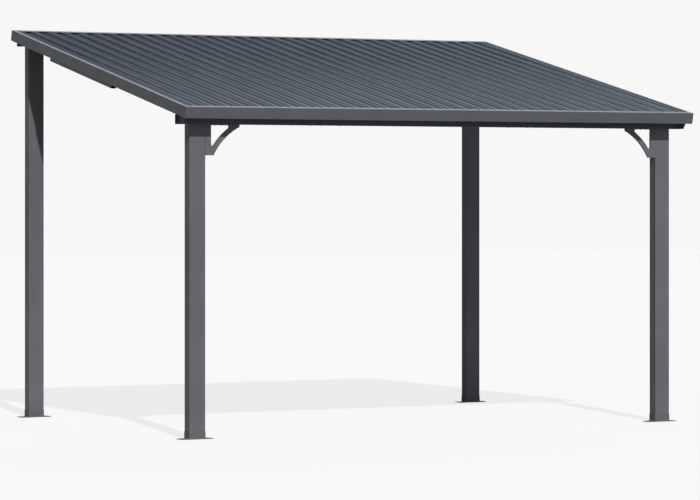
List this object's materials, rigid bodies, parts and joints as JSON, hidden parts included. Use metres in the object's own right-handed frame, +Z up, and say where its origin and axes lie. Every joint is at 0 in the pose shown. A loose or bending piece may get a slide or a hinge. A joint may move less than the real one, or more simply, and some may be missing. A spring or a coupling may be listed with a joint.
{
  "type": "lean-to hardtop gazebo",
  "caption": "Free-standing lean-to hardtop gazebo with a ribbed steel roof that slopes to the front, rectangular posts on base plates and arched corner brackets",
  "frame": {"origin": "on the ground, under the centre of the roof's outline", "axes": "+X to the right seen from the front, +Y to the back (the high side), +Z up"},
  "size_m": [4.27, 3.0406, 2.9853],
  "materials": {
    "post_coating": "matt dark grey powder coat",
    "foot_coating": "matt dark grey powder coat",
    "frame_coating": "matt dark grey powder coat",
    "bracket_coating": "matt dark grey powder coat",
    "fascia_coating": "satin dark grey powder coat",
    "roof_sheet_coating": "satin blue-grey coil coating"
  },
  "bodies": {
    "root": {"front_left_post": "post_coating", "front_right_post": "post_coating", "back_left_post": "post_coating", "back_right_post": "post_coating", "front_left_foot": "foot_coating", "front_right_foot": "foot_coating", "back_left_foot": "foot_coating", "back_right_foot": "foot_coating", "front_beam_left": "frame_coating", "front_beam_middle": "frame_coating", "front_beam_right": "frame_coating", "front_beam_splice_left": "frame_coating", "front_beam_splice_right": "frame_coating", "back_beam": "frame_coating", "lower_purlin": "frame_coating", "upper_purlin": "frame_coating", "inner_rafter_left": "frame_coating", "inner_rafter_right": "frame_coating", "lower_purlin_cleats": "frame_coating", "upper_purlin_cleats": "frame_coating", "left_side_rafter": "frame_coating", "right_side_rafter": "frame_coating", "left_rake_stiffener": "frame_coating", "right_rake_stiffener": "frame_coating", "left_eave_bracket": "frame_coating", "right_eave_bracket": "frame_coating", "left_arch_bracket": "bracket_coating", "right_arch_bracket": "bracket_coating", "front_fascia": "fascia_coating", "back_fascia": "fascia_coating", "left_rake_fascia": "fascia_coating", "right_rake_fascia": "fascia_coating", "roof_panel_1": "roof_sheet_coating", "roof_panel_2": "roof_sheet_coating", "roof_panel_3": "roof_sheet_coating", "roof_panel_4": "roof_sheet_coating"}
  },
  "joints": []
}
